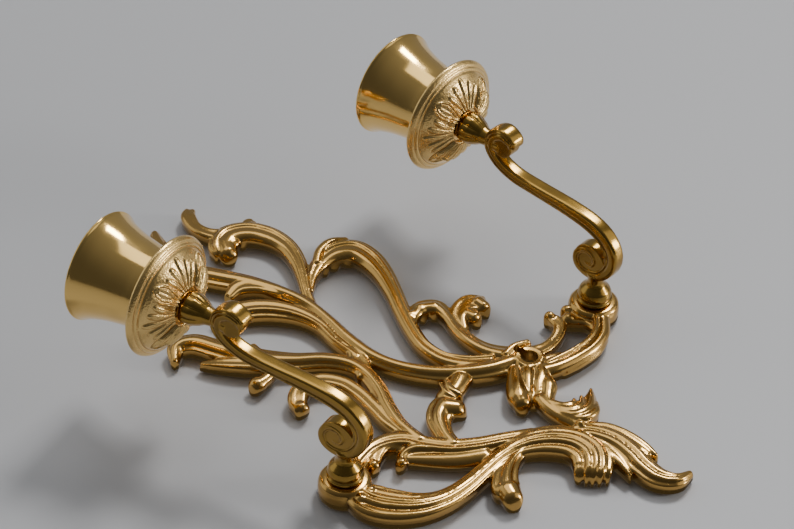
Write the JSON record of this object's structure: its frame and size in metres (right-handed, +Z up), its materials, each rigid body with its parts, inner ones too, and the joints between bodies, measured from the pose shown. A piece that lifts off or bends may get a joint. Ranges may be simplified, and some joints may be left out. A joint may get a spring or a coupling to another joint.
{
  "type": "wall sconce candle holder",
  "caption": "Rococo scroll wall sconce in polished cast brass with two swivelling S-scroll arms, each carrying a leaf-chased drip pan and a flared candle cup.",
  "frame": {"origin": "on the flat back of the casting, midway between the two arm bosses and 8 mm above the line through their centres", "axes": "+X to the right seen from the room, +Y into the wall, +Z up when hung; the wall is the plane Y = 0 and the sconce stands out towards -Y"},
  "size_m": [0.1755, 0.0692, 0.2121],
  "materials": {
    "cast_brass": "polished",
    "polished_brass": "polished",
    "chased_brass": "satin",
    "turned_brass": "polished",
    "hardware_brass": "satin"
  },
  "bodies": {
    "plate": {"backplate": "cast_brass"},
    "left_arm": {"arm_left": "polished_brass", "arm_screw_left": "hardware_brass", "arm_washer_left": "hardware_brass", "cup_screw_left": "hardware_brass"},
    "left_pan": {"drip_pan_left": "chased_brass"},
    "left_cup": {"candle_cup_left": "turned_brass"},
    "right_arm": {"arm_right": "polished_brass", "arm_screw_right": "hardware_brass", "arm_washer_right": "hardware_brass", "cup_screw_right": "hardware_brass"},
    "right_pan": {"drip_pan_right": "chased_brass"},
    "right_cup": {"candle_cup_right": "turned_brass"}
  },
  "joints": [
    {"name": "arm_left_swivel", "type": "hinge", "parent": "plate", "child": "left_arm", "pos_m": [-0.06, 0, -0.008], "axis": [0, 1, 0], "range_deg": [-30, 25]},
    {"name": "arm_right_swivel", "type": "hinge", "parent": "plate", "child": "right_arm", "pos_m": [0.06, 0, -0.008], "axis": [0, 1, 0], "range_deg": [-15, 40]},
    {"name": "pan_left_turn", "type": "hinge", "parent": "left_arm", "child": "left_pan", "pos_m": [-0.07191, -0.0486, 0.05386], "axis": [-0.1891, 0, 0.982], "continuous": true},
    {"name": "cup_left_turn", "type": "hinge", "parent": "left_arm", "child": "left_cup", "pos_m": [-0.07191, -0.0486, 0.05386], "axis": [-0.1891, 0, 0.982], "continuous": true},
    {"name": "pan_right_turn", "type": "hinge", "parent": "right_arm", "child": "right_pan", "pos_m": [0.05879, -0.0486, 0.05499], "axis": [-0.0192, 0, 0.9998], "continuous": true},
    {"name": "cup_right_turn", "type": "hinge", "parent": "right_arm", "child": "right_cup", "pos_m": [0.05879, -0.0486, 0.05499], "axis": [-0.0192, 0, 0.9998], "continuous": true}
  ]
}
